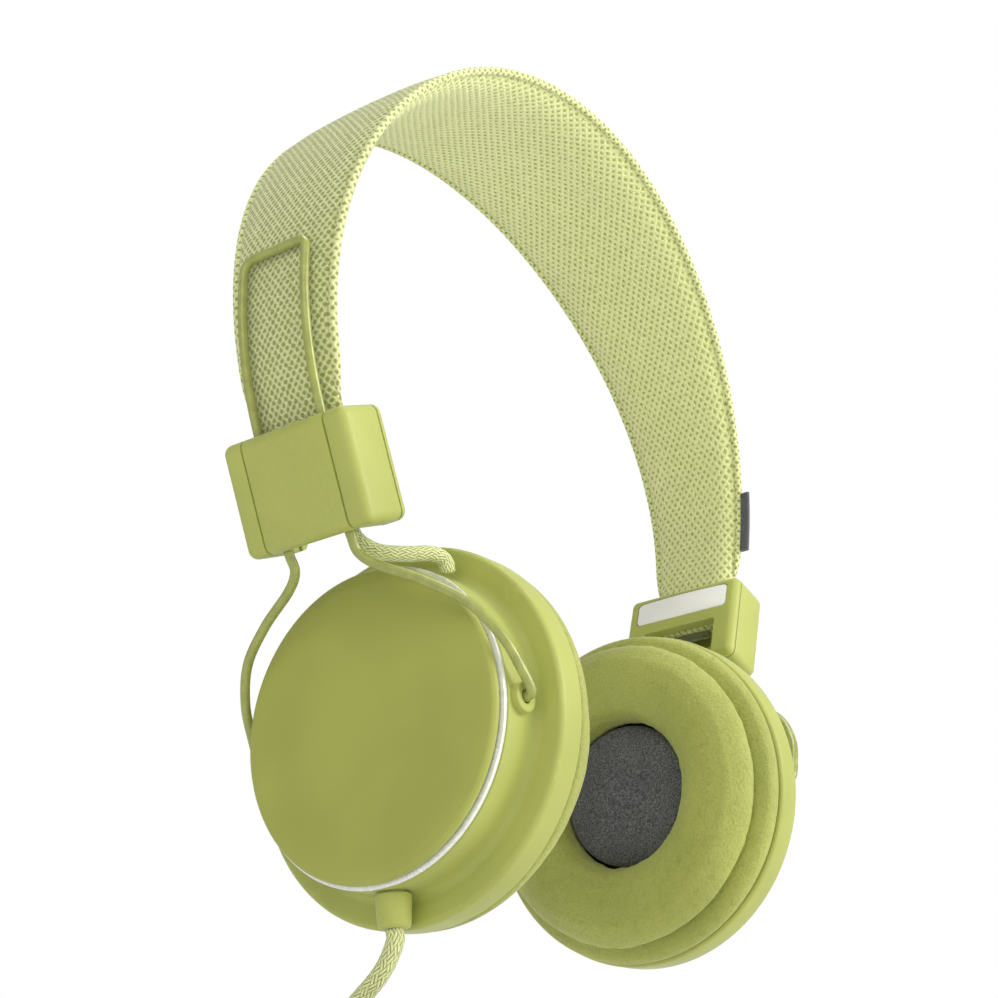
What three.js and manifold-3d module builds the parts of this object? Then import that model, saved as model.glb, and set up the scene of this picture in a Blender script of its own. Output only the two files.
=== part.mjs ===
// On-ear headphones with a folding frame: fabric headband, wire sliders, wire yokes, round ear cups.
// Millimetres. +X runs to the wearer's right ear side, +Z is up, the origin is the underside of the
// headband's crest, where the head carries it. Both sides are built for +X; the left one is mirrored.

import * as THREE from 'three';
import Module from 'manifold-3d';

const wasm = await Module();
wasm.setup();

const rad = (deg) => (deg * Math.PI) / 180;

// headband: two tangent arcs from the crest down to the slider box
const PAD_DEPTH = 3.3; // inner padding below the band's reference line at the crest
const TOP_R = 77; // upper arc
const TOP_END = rad(52.2);
const SIDE_R = 69; // lower arc, the one the slider runs along
const SIDE_END = rad(110.3);
const BAND_HALF_W = 20.4; // at the crest
const BAND_END_HALF_W = 10.2; // at the box
const COVER_T = 0.8; // fabric
const BAND_IN_BOX = 11.5; // how far the covered band reaches into the box
const PIPING_R = 0.85;

// slider
const TRAVEL = 12; // along the lower arc
const FRAME_WIRE_R = 0.9;
const FRAME_HALF_W = 7.8;
const FRAME_OFFSET = 3.25; // wire centre above the band's reference line
const FRAME_REACH = 34; // above the box
const BOX_H = 22;
const BOX_HALF_W = 15;
const BOX_OUT = 6.6;
const BOX_IN = -5.7;
const GAP = 0.3; // between pieces that touch
const AXLE_DOWN = 18; // fold axle, below the box's top
const AXLE_OUT = 2.9;
const STUB_HALF_W = 7.5; // half the spacing of the two wire legs

// yoke and cup
const YOKE_WIRE_R = 0.95;
const PIVOT_X = 47.5;
const CUP_Z = -146.3;
const PIVOT_HALF_W = 32.6; // wire centre
const BODY_R = 29.8;
const FLANGE_R = 36;
const COLLAR_R = 2.8;

// cord
const CORD_R = 1.7;
const LEAD_R = 1.5;
const RELIEF_END = CUP_Z - BODY_R - 6.5;
const COIL_R = 20; // middle of the turns
const COIL_SECTION_R = 6.3;
const COIL_Z = -228;

const TOP_C = new THREE.Vector2(0, PAD_DEPTH - TOP_R);
const SIDE_C = new THREE.Vector2(
  (TOP_R - SIDE_R) * Math.sin(TOP_END),
  TOP_C.y + (TOP_R - SIDE_R) * Math.cos(TOP_END),
);
const TOP_LEN = TOP_R * TOP_END;
const BAND_LEN = TOP_LEN + SIDE_R * (SIDE_END - TOP_END); // crest to box top

// materials, one colour family
const LIME = 0xb4bd68;
const FABRIC = 0xcbd38c;
const TONES = {
  lime: [LIME, 0.55, 0],
  wire: [0xa9b25c, 0.45, 0.1],
  fabric: [FABRIC, 0.95, 0],
  foam: [0x8d9450, 0.95, 0],
  cushion: [0xbcc474, 0.8, 0],
  steel: [0x9a9c9e, 0.35, 0.9],
  trim: [0xe8e8e2, 0.3, 0.6],
  white: [0xf2f2ee, 0.5, 0],
  grey: [0x5f5f61, 0.9, 0],
  dark: [0x2c2c2e, 0.6, 0],
  gold: [0xc9a95a, 0.3, 1],
};

// flips a closed surface that was drawn inside out
function outward(geometry) {
  const pos = geometry.attributes.position;
  const g = geometry.index ? geometry : geometry.setIndex([...Array(pos.count).keys()]);
  const index = g.index.array;
  const [a, b, c] = [new THREE.Vector3(), new THREE.Vector3(), new THREE.Vector3()];
  let volume = 0;
  for (let i = 0; i < index.length; i += 3) {
    a.fromBufferAttribute(pos, index[i]);
    b.fromBufferAttribute(pos, index[i + 1]);
    c.fromBufferAttribute(pos, index[i + 2]);
    volume += a.dot(b.cross(c));
  }
  if (volume < 0) {
    for (let i = 0; i < index.length; i += 3) [index[i], index[i + 1]] = [index[i + 1], index[i]];
  }
  return g;
}

function named(name, drawn, tone) {
  const geometry = outward(drawn);
  const [color, roughness, metalness] = TONES[tone];
  const mesh = new THREE.Mesh(geometry, new THREE.MeshStandardMaterial({ color, roughness, metalness }));
  mesh.name = name;
  return mesh;
}

// --- joining and cutting ---

function toSolid(drawn) {
  const geometry = outward(drawn);
  const pos = geometry.attributes.position;
  const seen = new Map();
  const verts = [];
  const tris = [];
  for (let i = 0; i < geometry.index.count; i += 1) {
    const k = geometry.index.getX(i);
    const p = [pos.getX(k), pos.getY(k), pos.getZ(k)];
    const key = p.map((c) => Math.round(c * 1e4)).join(',');
    if (!seen.has(key)) {
      seen.set(key, verts.length / 3);
      verts.push(...p);
    }
    tris.push(seen.get(key));
  }
  const kept = [];
  for (let i = 0; i < tris.length; i += 3) {
    const [a, b, c] = tris.slice(i, i + 3);
    if (a !== b && b !== c && a !== c) kept.push(a, b, c);
  }
  return new wasm.Manifold(
    new wasm.Mesh({
      numProp: 3,
      vertProperties: new Float32Array(verts),
      triVerts: new Uint32Array(kept),
    }),
  );
}

function toGeometry(solid) {
  const mesh = solid.getMesh();
  const geometry = new THREE.BufferGeometry();
  geometry.setAttribute('position', new THREE.BufferAttribute(new Float32Array(mesh.vertProperties), 3));
  geometry.setIndex(new THREE.BufferAttribute(new Uint32Array(mesh.triVerts), 1));
  return geometry;
}

function carve(geometry, ...tools) {
  return toGeometry(tools.reduce((solid, tool) => solid.subtract(toSolid(tool)), toSolid(geometry)));
}

function common(...geometries) {
  const [first, ...rest] = geometries.map(toSolid);
  return toGeometry(rest.reduce((solid, other) => solid.intersect(other), first));
}

// --- basic shapes ---

function block(x0, x1, y0, y1, z0, z1) {
  const g = new THREE.BoxGeometry(x1 - x0, y1 - y0, z1 - z0);
  return g.translate((x0 + x1) / 2, (y0 + y1) / 2, (z0 + z1) / 2);
}

function roundedRect(x0, x1, y0, y1, r) {
  const s = new THREE.Shape();
  s.moveTo(x0 + r, y0);
  s.lineTo(x1 - r, y0);
  s.absarc(x1 - r, y0 + r, r, -Math.PI / 2, 0, false);
  s.lineTo(x1, y1 - r);
  s.absarc(x1 - r, y1 - r, r, 0, Math.PI / 2, false);
  s.lineTo(x0 + r, y1);
  s.absarc(x0 + r, y1 - r, r, Math.PI / 2, Math.PI, false);
  s.lineTo(x0, y0 + r);
  s.absarc(x0 + r, y0 + r, r, Math.PI, 1.5 * Math.PI, false);
  return s;
}

function prism(shape, depth, curveSegments = 3) {
  return new THREE.ExtrudeGeometry(shape, { depth, bevelEnabled: false, curveSegments });
}

// a solid of revolution about the ear cup's axis; the profile is [radius, x]
function turned(profile, segments) {
  const points = profile.map(([r, x]) => new THREE.Vector2(r, x));
  return new THREE.LatheGeometry(points, segments).rotateZ(-Math.PI / 2);
}

// a solid of revolution about a vertical axis; the profile is [radius, z]
function upright(profile, segments) {
  const points = profile.map(([r, z]) => new THREE.Vector2(r, z));
  return new THREE.LatheGeometry(points, segments).rotateX(Math.PI / 2);
}

function closedRing(profile) {
  return [...profile, profile[0]];
}

// a round rod swept along a curve
function rod(path, radius, steps, sides = 8) {
  const section = new THREE.Shape();
  for (let i = 0; i < sides; i += 1) {
    const a = (2 * Math.PI * i) / sides;
    const move = i === 0 ? 'moveTo' : 'lineTo';
    section[move](radius * Math.cos(a), radius * Math.sin(a));
  }
  return new THREE.ExtrudeGeometry(section, { steps, extrudePath: path, bevelEnabled: false });
}

const vec = (x, y, z) => new THREE.Vector3(x, y, z);

// --- headband ---

// point of the band's reference line at arc length s from the crest, moved outward by n
function bandPoint(s, n) {
  const side = Math.sign(s) || 1;
  const d = Math.abs(s);
  const onTop = d <= TOP_LEN;
  const angle = onTop ? d / TOP_R : TOP_END + (d - TOP_LEN) / SIDE_R;
  const centre = onTop ? TOP_C : SIDE_C;
  const r = (onTop ? TOP_R : SIDE_R) + n;
  return [side * (centre.x + r * Math.sin(angle)), centre.y + r * Math.cos(angle)];
}

function bandHalfWidth(s) {
  const u = Math.min(Math.abs(s) / BAND_LEN, 1);
  const fall = ((1 + Math.cos(Math.PI * u)) / 2) ** 0.8;
  return BAND_END_HALF_W + (BAND_HALF_W - BAND_END_HALF_W) * fall;
}

function padDepth(s) {
  const u = Math.min(Math.abs(s) / BAND_LEN, 1);
  return PAD_DEPTH - 0.8 * u * u;
}

function bandStations(reach, count) {
  return Array.from({ length: count + 1 }, (_, i) => -reach + (2 * reach * i) / count);
}

// skin between equal rings of points, closed with flat ends; holes are rings in the same order
function loft(rings, inner) {
  const verts = [];
  const tris = [];
  const n = rings[0].length;
  const put = (list) => list.forEach((ring) => ring.forEach((p) => verts.push(...p)));
  put(rings);
  if (inner) put(inner);
  const wall = (base, m, flip) => {
    for (let i = 0; i < rings.length - 1; i += 1) {
      for (let j = 0; j < m; j += 1) {
        const a = base + i * m + j;
        const b = base + i * m + ((j + 1) % m);
        const quad = [a, b, b + m, a, b + m, a + m];
        tris.push(...(flip ? quad.reverse() : quad));
      }
    }
  };
  wall(0, n, false);
  const last = (rings.length - 1) * n;
  if (inner) {
    const base = rings.length * n;
    wall(base, n, true);
    for (let j = 0; j < n; j += 1) {
      const k = (j + 1) % n;
      tris.push(j, base + j, base + k, j, base + k, k);
      tris.push(last + k, base + last + k, base + last + j, last + k, base + last + j, last + j);
    }
  } else {
    for (let j = 1; j < n - 1; j += 1) {
      tris.push(0, j + 1, j);
      tris.push(last, last + j, last + j + 1);
    }
  }
  const g = new THREE.BufferGeometry();
  g.setAttribute('position', new THREE.BufferAttribute(new Float32Array(verts), 3));
  g.setIndex(tris);
  return g;
}

// section of the band as [y, n] pairs: a gently crowned outside and a padded inside
function bandSection(s, inset) {
  const w = bandHalfWidth(s) - inset;
  const deep = padDepth(s);
  const across = [-1, -0.8, -0.45, 0, 0.45, 0.8, 1];
  const outer = across.map((t) => [t * w, 1.1 + 0.8 * (1 - t * t) - inset]);
  const under = across.map((t) => [-t * w, -1.1 - (deep - 1.1) * (1 - t ** 4) + inset]);
  return [...outer, ...under];
}

function bandRing(s, inset) {
  return bandSection(s, inset).map(([y, n]) => {
    const [x, z] = bandPoint(s, n);
    return [x, y, z];
  });
}

function strip(reach, count, halfWidth, n0, n1) {
  const rings = bandStations(reach, count).map((s) => {
    const w = typeof halfWidth === 'function' ? halfWidth(s) : halfWidth;
    return [[-w, n1], [w, n1], [w, n0], [-w, n0]].map(([y, n]) => {
      const [x, z] = bandPoint(s, n);
      return [x, y, z];
    });
  });
  return loft(rings);
}

function headbandCover() {
  const stations = bandStations(BAND_LEN + BAND_IN_BOX, 34);
  return loft(stations.map((s) => bandRing(s, 0)), stations.map((s) => bandRing(s, COVER_T)));
}

function headbandPad() {
  const stations = bandStations(BAND_LEN + BAND_IN_BOX - 1, 26);
  const rings = stations.map((s) => {
    const w = bandHalfWidth(s) - COVER_T - 2.2;
    const low = -0.69 * (padDepth(s) - 1.1);
    return [[-w, -0.55], [w, -0.55], [0.7 * w, low], [-0.7 * w, low]].map(([y, n]) => {
      const [x, z] = bandPoint(s, n);
      return [x, y, z];
    });
  });
  return loft(rings);
}

function piping(edge) {
  const reach = BAND_LEN - 3;
  const rings = bandStations(reach, 32).map((s) => {
    const y = edge * (bandHalfWidth(s) + PIPING_R + 0.12);
    return Array.from({ length: 6 }, (_, i) => {
      const a = (2 * Math.PI * i) / 6;
      const [x, z] = bandPoint(s, -PIPING_R * Math.cos(a));
      return [x, y + PIPING_R * Math.sin(a), z];
    });
  });
  return loft(rings);
}

// a folded fabric tag sewn into the front edge, right side
function sideTag() {
  const from = BAND_LEN - 26;
  const rings = Array.from({ length: 4 }, (_, i) => from + 5 * i).map((s) => {
    const y = -bandHalfWidth(s) - 2 * PIPING_R - 0.42;
    return [[y - 2.2, 0.6], [y, 0.6], [y, -0.6], [y - 2.2, -0.6]].map(([yy, n]) => {
      const [x, z] = bandPoint(s, n);
      return [x, yy, z];
    });
  });
  return loft(rings);
}

function headband() {
  const g = new THREE.Group();
  g.name = 'headband';
  g.add(named('headband_cover', headbandCover(), 'fabric'));
  g.add(named('headband_pad', headbandPad(), 'foam'));
  g.add(named('headband_spring', strip(BAND_LEN + 13, 28, 6, -0.25, 0.3), 'steel'));
  g.add(named('headband_piping_front', piping(-1), 'fabric'));
  g.add(named('headband_piping_back', piping(1), 'fabric'));
  g.add(named('side_tag', sideTag(), 'grey'));
  return g;
}

// --- slider: wire frame and box ---

// the box's own axes: b down from its top along the band's end, n outward, y sideways
const END = vec(...[bandPoint(BAND_LEN, 0)].flatMap(([x, z]) => [x, 0, z]));
const DOWN = vec(Math.cos(SIDE_END), 0, -Math.sin(SIDE_END));
const OUT = vec(Math.sin(SIDE_END), 0, Math.cos(SIDE_END));

function boxPoint(b, y, n) {
  return END.clone().addScaledVector(DOWN, b).addScaledVector(OUT, n).add(vec(0, y, 0));
}

// moves geometry drawn as x = n, y = y, z = -b into place
function inBox(geometry) {
  const m = new THREE.Matrix4().makeBasis(OUT, vec(0, 1, 0), DOWN.clone().negate());
  return geometry.applyMatrix4(m.setPosition(END));
}

function sliderFrame() {
  const path = new THREE.CurvePath();
  const at = (s, y) => {
    const [x, z] = bandPoint(s, FRAME_OFFSET);
    return vec(x, y, z);
  };
  const top = BAND_LEN - FRAME_REACH;
  const bend = 2.5;
  const rail = (y) => {
    const points = [boxPoint(13.6, y, FRAME_OFFSET), boxPoint(7, y, FRAME_OFFSET)];
    for (let i = 0; i <= 5; i += 1) points.push(at(BAND_LEN - ((FRAME_REACH - bend) * i) / 5, y));
    return points;
  };
  const up = rail(FRAME_HALF_W);
  const down = rail(-FRAME_HALF_W).reverse();
  path.add(new THREE.CatmullRomCurve3(up));
  path.add(new THREE.QuadraticBezierCurve3(up.at(-1), at(top, FRAME_HALF_W), at(top, FRAME_HALF_W - bend)));
  path.add(new THREE.LineCurve3(at(top, FRAME_HALF_W - bend), at(top, bend - FRAME_HALF_W)));
  path.add(new THREE.QuadraticBezierCurve3(at(top, bend - FRAME_HALF_W), at(top, -FRAME_HALF_W), down[0]));
  path.add(new THREE.CatmullRomCurve3(down));
  return rod(path, FRAME_WIRE_R, 36, 6);
}

// the box's full outline, rounded on all three faces
function boxBlank() {
  const w = BOX_HALF_W;
  const side = prism(roundedRect(BOX_IN, BOX_OUT, -BOX_H, 0, 1.8), 2 * w + 2);
  side.rotateX(Math.PI / 2).translate(0, w + 1, 0);
  const face = prism(roundedRect(-BOX_H, 0, -w, w, 2.2), 20);
  face.rotateY(Math.PI / 2).translate(-10, 0, -BOX_H);
  const top = prism(roundedRect(BOX_IN, BOX_OUT, -w, w, 1.8), BOX_H + 2);
  top.translate(0, 0, -BOX_H - 1);
  return common(side, face, top);
}

const SEAM_Y = 10;
const WALL_OUT = 4.5;
const WALL_IN = -3.7;

function boxCover() {
  return common(boxBlank(), block(WALL_OUT, 10, -SEAM_Y + GAP / 2, SEAM_Y - GAP / 2, -30, 5));
}

function boxCheek(edge) {
  const slab = block(WALL_IN + GAP, 10, SEAM_Y + GAP / 2, 20, -30, 5);
  const room = block(-10, WALL_OUT - 0.2, 0, BAND_END_HALF_W + 0.5, -14.3, 5);
  const cheek = carve(common(boxBlank(), slab), room);
  return edge > 0 ? cheek : cheek.scale(1, -1, 1);
}

const LABEL = { half: 12.4, top: 1.9, bottom: 8.3, depth: 0.8 };

// the label plate's outline in (b, y): rounded, its long edges slightly bowed
function labelShape(shrink) {
  const w = LABEL.half - shrink;
  const t = LABEL.top + shrink;
  const b = LABEL.bottom - shrink;
  const s = new THREE.Shape();
  const r = 1.1;
  s.moveTo(t, -w + r);
  s.quadraticCurveTo(t - 0.7, 0, t, w - r);
  s.quadraticCurveTo(t, w, t + r, w);
  s.lineTo(b - r, w);
  s.quadraticCurveTo(b, w, b, w - r);
  s.quadraticCurveTo(b + 0.1, 0, b, -w + r);
  s.quadraticCurveTo(b, -w, b - r, -w);
  s.lineTo(t + r, -w);
  s.quadraticCurveTo(t, -w, t, -w + r);
  return s;
}

// a prism drawn in (b, y) and standing from n0 to n1
function facePrism(shape, n0, n1, curveSegments = 5) {
  return prism(shape, n1 - n0, curveSegments).rotateY(Math.PI / 2).translate(n0, 0, 0);
}

function innerPlate() {
  const slab = common(boxBlank(), block(-10, WALL_IN, -20, 20, -30, 5));
  const recess = block(-10, 0, -9.7, 9.7, -30, -11.2);
  const pocket = facePrism(labelShape(0), BOX_IN - 1, BOX_IN + LABEL.depth);
  return carve(slab, recess, pocket);
}

function labelPlate() {
  return facePrism(labelShape(0.12), BOX_IN - 0.05, BOX_IN + LABEL.depth - 0.15);
}

// carries the fold axle and closes the box behind the band's end
function hingeBlock() {
  const shape = roundedRect(0.4, WALL_OUT - GAP, -20.2, -14.4, 0.6);
  const bore = new THREE.Path();
  bore.absarc(AXLE_OUT - 0.25, -AXLE_DOWN, YOKE_WIRE_R + 0.35, 0, 2 * Math.PI, true);
  shape.holes.push(bore);
  return prism(shape, 11, 4).rotateX(Math.PI / 2).translate(0, 5.5, 0);
}

function slider(side) {
  const g = new THREE.Group();
  g.name = `${side}_slider`;
  g.add(named(`${side}_frame`, sliderFrame(), 'wire'));
  g.add(named(`${side}_box_cover`, inBox(boxCover()), 'lime'));
  g.add(named(`${side}_box_cheek_front`, inBox(boxCheek(-1)), 'lime'));
  g.add(named(`${side}_box_cheek_back`, inBox(boxCheek(1)), 'lime'));
  g.add(named(`${side}_inner_plate`, inBox(innerPlate()), 'lime'));
  g.add(named(`${side}_label_plate`, inBox(labelPlate()), 'white'));
  g.add(named(`${side}_hinge_block`, inBox(hingeBlock()), 'dark'));
  return g;
}

// --- yoke: one bent wire, its middle is the fold axle and its ends are the cup's pivots ---

// the legs' half spacing at a distance d down the wire's slanted plane
const LEG = [[0, 7.5], [3.2, 7.7], [6.4, 10.9], [11.4, 19.2], [17.5, 26.6], [25, 30.8], [32, 32.3]];
const LEG_TOP = vec(66.1, 0, -115.3);

function yokeWire() {
  const axle = boxPoint(AXLE_DOWN, 0, AXLE_OUT - 0.25);
  const foot = vec(PIVOT_X, 0, CUP_Z);
  const run = foot.clone().sub(LEG_TOP);
  const length = run.length();
  run.normalize();
  const leg = (edge) => {
    const on = (d, y) => LEG_TOP.clone().addScaledVector(run, d).add(vec(0, edge * y, 0));
    return LEG.map(([d, y]) => on(d, y)).concat([on(length - 1.6, PIVOT_HALF_W)]);
  };
  const corner = (edge) => foot.clone().add(vec(0, edge * PIVOT_HALF_W, 0));
  const pin = (edge) => [foot.clone().add(vec(0, edge * (PIVOT_HALF_W - 1.6), 0)),
    foot.clone().add(vec(0, edge * 29.1, 0))];
  const axleEnd = (edge) => axle.clone().add(vec(0, edge * (STUB_HALF_W - 1.6), 0));
  const axleCorner = (edge) => axle.clone().add(vec(0, edge * STUB_HALF_W, 0));
  const stub = (edge) => axleCorner(edge).lerp(LEG_TOP.clone().add(vec(0, edge * LEG[0][1], 0)), 0.42);
  const back = leg(1);
  const front = leg(-1);
  const path = new THREE.CurvePath();
  path.add(new THREE.LineCurve3(pin(1)[1], pin(1)[0]));
  path.add(new THREE.QuadraticBezierCurve3(pin(1)[0], corner(1), back.at(-1)));
  path.add(new THREE.CatmullRomCurve3([...back].reverse().concat([stub(1)])));
  path.add(new THREE.QuadraticBezierCurve3(stub(1), axleCorner(1), axleEnd(1)));
  path.add(new THREE.LineCurve3(axleEnd(1), axleEnd(-1)));
  path.add(new THREE.QuadraticBezierCurve3(axleEnd(-1), axleCorner(-1), stub(-1)));
  path.add(new THREE.CatmullRomCurve3([stub(-1), ...front]));
  path.add(new THREE.QuadraticBezierCurve3(front.at(-1), corner(-1), pin(-1)[0]));
  path.add(new THREE.LineCurve3(pin(-1)[0], pin(-1)[1]));
  return rod(path, YOKE_WIRE_R, 76, 6);
}

function yoke(side) {
  const g = new THREE.Group();
  g.name = `${side}_yoke`;
  g.add(named(`${side}_yoke_wire`, yokeWire(), 'wire'));
  return g;
}

// --- ear cup, drawn on the X axis and dropped to its height ---

const ROUND = 32;

function cupShell(hasRelief) {
  const profile = closedRing([
    [27.6, 37.0], [35.5, 37.0], [36, 37.5], [36, 42.7], [35.3, 43.4], [31.4, 43.4],
    [30.2, 44.0], [BODY_R, 45.4], [BODY_R, 51.1], [27.6, 51.1],
  ]);
  const shell = turned(profile, ROUND);
  const tools = [-1, 1].map((edge) => {
    const seat = new THREE.CylinderGeometry(COLLAR_R + 0.25, COLLAR_R + 0.25, 6, 16);
    return seat.translate(PIVOT_X, edge * (28.55 + 3), 0);
  });
  if (hasRelief) {
    const bore = new THREE.CylinderGeometry(2.8, 2.8, 8, 16).rotateX(Math.PI / 2);
    tools.push(bore.translate(PIVOT_X, 0, -BODY_R + 1));
  }
  return carve(shell, ...tools);
}

function collar(edge) {
  const shape = new THREE.Shape();
  shape.absarc(0, 0, COLLAR_R, 0, 2 * Math.PI, false);
  const hole = new THREE.Path();
  hole.absarc(0, 0, YOKE_WIRE_R + 0.35, 0, 2 * Math.PI, true);
  shape.holes.push(hole);
  const ring = prism(shape, 2.35, 8).rotateX(Math.PI / 2);
  return ring.translate(PIVOT_X, edge > 0 ? 31.2 : -28.85, 0);
}

const CAP = [[0, 52.6], [28.9, 52.6], [29.2, 52.9], [29.1, 53.5], [28.5, 54.2], [27.4, 54.6], [0, 54.6]];
const TRIM = [[27.6, 51.4], [BODY_R, 51.4], [BODY_R, 52.3], [27.6, 52.3]];
const BAFFLE = [[15.4, 37.3], [27.3, 37.3], [27.3, 39], [15.4, 39]];
const DRIVER = [[0, 34.2], [12.5, 34.2], [15, 35.4], [15, 39], [9.5, 40], [9.5, 44.5], [0, 44.5]];
const CLOTH = [[0, 32.4], [14, 32.6], [15.4, 33.1], [15.4, 33.9], [0, 33.9]];
const CUSHION = [
  [16.4, 36.7], [15.7, 34.5], [15.7, 29.8], [17.1, 27], [20.5, 25.3], [25, 24.9], [29, 25.5],
  [32.2, 27.6], [33.9, 30.4], [33.7, 32.4], [34.8, 33.3], [35.8, 34.5], [35.8, 36], [35.3, 36.7],
];

function relief() {
  const top = CUP_Z - BODY_R;
  const profile = [
    [0, top + 2.8], [2.45, top + 2.8], [2.45, top - GAP], [3.3, top - GAP], [3.3, top - 1.6],
    [3.05, RELIEF_END + 0.6], [2.5, RELIEF_END], [0, RELIEF_END],
  ];
  return upright(profile, 12).translate(PIVOT_X, 0, 0);
}

// the braided lead from the box to the cup's top
function lead() {
  const points = [
    vec(62.0, -3.6, -109.3), vec(61.3, -4.4, -113.4), vec(58.8, -7.4, -116.2), vec(54.8, -11.0, -116.6),
    vec(50.8, -13.8, -116.2), vec(48.3, -14.9, -117.2), vec(47.5, -14.8, -119.1),
  ];
  return rod(new THREE.CatmullRomCurve3(points), LEAD_R, 12);
}

function cup(side) {
  const g = new THREE.Group();
  g.name = `${side}_cup`;
  const lower = (geometry) => geometry.translate(0, 0, CUP_Z);
  g.add(named(`${side}_cap`, lower(turned(CAP, ROUND)), 'lime'));
  g.add(named(`${side}_trim_ring`, lower(turned(closedRing(TRIM), ROUND)), 'trim'));
  g.add(named(`${side}_shell`, lower(cupShell(side === 'left')), 'lime'));
  g.add(named(`${side}_collar_front`, lower(collar(-1)), 'lime'));
  g.add(named(`${side}_collar_back`, lower(collar(1)), 'lime'));
  g.add(named(`${side}_baffle`, lower(turned(closedRing(BAFFLE), 24)), 'dark'));
  g.add(named(`${side}_driver`, lower(turned(DRIVER, 16)), 'steel'));
  g.add(named(`${side}_driver_cloth`, lower(turned(CLOTH, 20)), 'grey'));
  g.add(named(`${side}_cushion`, lower(turned(closedRing(CUSHION), ROUND)), 'cushion'));
  return g;
}

// --- main cord, its coil and plug, hanging from the left cup ---

const CORD_ROUTE = [
  vec(-PIVOT_X, 0, RELIEF_END - GAP), vec(-PIVOT_X, 0, -185), vec(-PIVOT_X, 3.2, -189.8),
  vec(-PIVOT_X, 9.0, -194.3), vec(-PIVOT_X, 14.8, -198.6), vec(-PIVOT_X, 19.8, -204.1),
  vec(-PIVOT_X, 23.1, -210.5),
];

function coil() {
  const section = Array.from({ length: 8 }, (_, i) => {
    const a = (2 * Math.PI * i) / 8;
    return [COIL_R + COIL_SECTION_R * Math.cos(a), COIL_SECTION_R * Math.sin(a)];
  });
  return turned(closedRing(section), 22).translate(-PIVOT_X, 0, COIL_Z);
}

function tie() {
  const h = COIL_SECTION_R + 0.35;
  const t = 0.9;
  const shape = roundedRect(-h - t, h + t, -h - t, h + t, 1.4);
  shape.holes.push(roundedRect(-h, h, -h, h, 0.6));
  const band = prism(shape, 5, 2).rotateX(Math.PI / 2).translate(0, 2.5, 0);
  return band.translate(-PIVOT_X, 0, COIL_Z + COIL_R);
}

const TAIL_Y = 25;
const TAIL_TOP = COIL_Z - 14.5;
const PLUG_TOP = TAIL_TOP - 7;

function plugGrip() {
  const z = PLUG_TOP - GAP;
  const profile = [
    [0, z], [2.2, z], [2.7, z - 6], [3.9, z - 7], [3.9, z - 20], [3.3, z - 21], [0, z - 21],
  ];
  return upright(profile, 12).translate(-PIVOT_X, TAIL_Y, 0);
}

function plugJack() {
  const z = PLUG_TOP - 21 - 2 * GAP;
  const profile = [
    [0, z], [1.75, z], [1.75, z - 10.6], [1.35, z - 11.4], [1.7, z - 12.4], [0.7, z - 14], [0, z - 14],
  ];
  return upright(profile, 12).translate(-PIVOT_X, TAIL_Y, 0);
}

function cord() {
  const g = new THREE.Group();
  g.name = 'cord';
  const tail = new THREE.LineCurve3(vec(-PIVOT_X, TAIL_Y, TAIL_TOP), vec(-PIVOT_X, TAIL_Y, PLUG_TOP));
  g.add(named('main_cord', rod(new THREE.CatmullRomCurve3(CORD_ROUTE), CORD_R, 9), 'fabric'));
  g.add(named('cord_coil', coil(), 'fabric'));
  g.add(named('cord_tie', tie(), 'dark'));
  g.add(named('cord_tail', rod(tail, CORD_R, 2), 'fabric'));
  g.add(named('plug_grip', plugGrip(), 'lime'));
  g.add(named('plug_jack', plugJack(), 'gold'));
  return g;
}

// --- assembly ---

const part = new THREE.Group();
part.name = 'headphones';
part.add(headband());
for (const side of ['left', 'right']) {
  const half = new THREE.Group();
  half.name = `${side}_side`;
  half.add(slider(side), yoke(side), cup(side));
  half.add(named(`${side}_lead`, lead(), 'fabric'));
  if (side === 'left') {
    half.add(named('strain_relief', relief(), 'lime'));
    half.scale.x = -1;
  }
  part.add(half);
}
part.add(cord());

export default part;
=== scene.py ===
import math
import bmesh
import bpy
import numpy as np
from mathutils import Matrix, Vector, noise


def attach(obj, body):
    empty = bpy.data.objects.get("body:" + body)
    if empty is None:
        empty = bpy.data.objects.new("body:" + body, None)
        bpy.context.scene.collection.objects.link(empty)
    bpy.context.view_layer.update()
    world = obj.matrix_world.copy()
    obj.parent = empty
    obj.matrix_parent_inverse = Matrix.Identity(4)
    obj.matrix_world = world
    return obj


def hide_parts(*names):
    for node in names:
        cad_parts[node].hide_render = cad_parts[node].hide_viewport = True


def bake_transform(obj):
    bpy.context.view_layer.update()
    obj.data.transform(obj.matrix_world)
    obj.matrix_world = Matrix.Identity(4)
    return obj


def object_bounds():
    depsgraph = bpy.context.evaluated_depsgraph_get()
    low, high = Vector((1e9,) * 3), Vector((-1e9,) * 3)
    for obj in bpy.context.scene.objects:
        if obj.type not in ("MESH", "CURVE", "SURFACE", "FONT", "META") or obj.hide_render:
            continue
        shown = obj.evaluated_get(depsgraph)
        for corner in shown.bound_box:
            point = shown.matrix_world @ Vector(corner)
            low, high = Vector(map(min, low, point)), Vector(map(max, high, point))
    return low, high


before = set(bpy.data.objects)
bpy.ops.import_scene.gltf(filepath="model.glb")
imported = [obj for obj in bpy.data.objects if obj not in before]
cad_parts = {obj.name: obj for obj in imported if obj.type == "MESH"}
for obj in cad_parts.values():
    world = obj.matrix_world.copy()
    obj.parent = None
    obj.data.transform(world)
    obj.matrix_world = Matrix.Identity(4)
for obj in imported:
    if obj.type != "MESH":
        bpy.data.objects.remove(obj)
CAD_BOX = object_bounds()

# Lime on-ear headphones. Lengths are millimetres until add_mesh() makes them metres.
# The headband's arc lies in the XZ plane: s runs along it from the crest, n points out of it.
MM = 0.001
PAD_DEPTH = 3.3
TOP_R = 77.0
TOP_END = math.radians(52.2)
SIDE_R = 69.0
SIDE_END = math.radians(110.3)
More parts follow.
